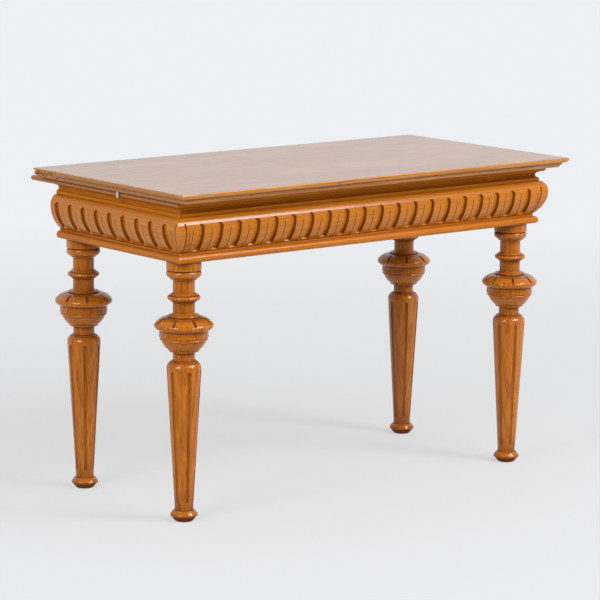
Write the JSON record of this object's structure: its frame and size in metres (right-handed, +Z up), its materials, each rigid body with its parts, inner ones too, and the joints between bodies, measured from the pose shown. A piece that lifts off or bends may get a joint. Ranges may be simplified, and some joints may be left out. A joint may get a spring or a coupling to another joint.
{
  "type": "games table",
  "caption": "Oak games table with a turning fold-over top, gadrooned cushion frieze, storage well and turned, fluted bulb legs.",
  "frame": {"origin": "on the floor, below the middle of the outline of the closed table", "axes": "+X along the long side to the right, +Y to the plain rear, +Z up"},
  "size_m": [1.126, 0.624, 0.74],
  "materials": {
    "varnished_oak": "honey oak under a glossy, slightly worn varnish",
    "top_oak": "paler, sun-faded oak with a worn satin polish",
    "plain_wood": "bare sawn wood",
    "baize": "felted woollen baize",
    "brass": "dull aged brass",
    "steel": "darkened steel"
  },
  "bodies": {
    "frame": {"leg_front_left": "varnished_oak", "leg_front_right": "varnished_oak", "leg_rear_left": "varnished_oak", "leg_rear_right": "varnished_oak", "rail_front": "varnished_oak", "rail_rear": "varnished_oak", "rail_left": "varnished_oak", "rail_right": "varnished_oak", "base_moulding_front": "varnished_oak", "base_moulding_left": "varnished_oak", "base_moulding_right": "varnished_oak", "frieze_front": "varnished_oak", "frieze_left": "varnished_oak", "frieze_right": "varnished_oak", "neck_moulding_front": "varnished_oak", "neck_moulding_left": "varnished_oak", "neck_moulding_right": "varnished_oak", "bearer_deck": "varnished_oak", "bearer_front": "varnished_oak", "bearer_rear": "varnished_oak", "bearer_right": "varnished_oak", "bearer_screws": "steel", "pivot_rail": "plain_wood", "pivot_bush": "brass", "well_partition": "plain_wood", "well_floor": "plain_wood", "well_ledgers": "plain_wood", "glue_blocks": "plain_wood"},
    "turning_top": {"leaf_lower": "top_oak", "baize_lower": "baize", "pivot_bolt": "steel", "pivot_plate": "steel", "pivot_washer": "steel", "pivot_nut": "steel", "pivot_plate_screws": "steel", "hinge_straps_lower": "brass", "hinge_pins": "brass", "strap_screws_lower": "brass", "stop_hook": "steel", "hook_screws": "steel"},
    "flap": {"leaf_upper": "top_oak", "baize_upper": "baize", "hinge_straps_upper": "brass", "strap_screws_upper": "brass"}
  },
  "joints": [
    {"name": "top_swivel", "type": "hinge", "parent": "frame", "child": "turning_top", "pos_m": [-0.11865, 0.14455, 0.7165], "axis": [0, 0, -1], "range_deg": [0, 90]},
    {"name": "leaf_fold", "type": "hinge", "parent": "turning_top", "child": "flap", "pos_m": [0, 0.2632, 0.72835], "axis": [-1, 0, 0], "range_deg": [0, 180]}
  ]
}
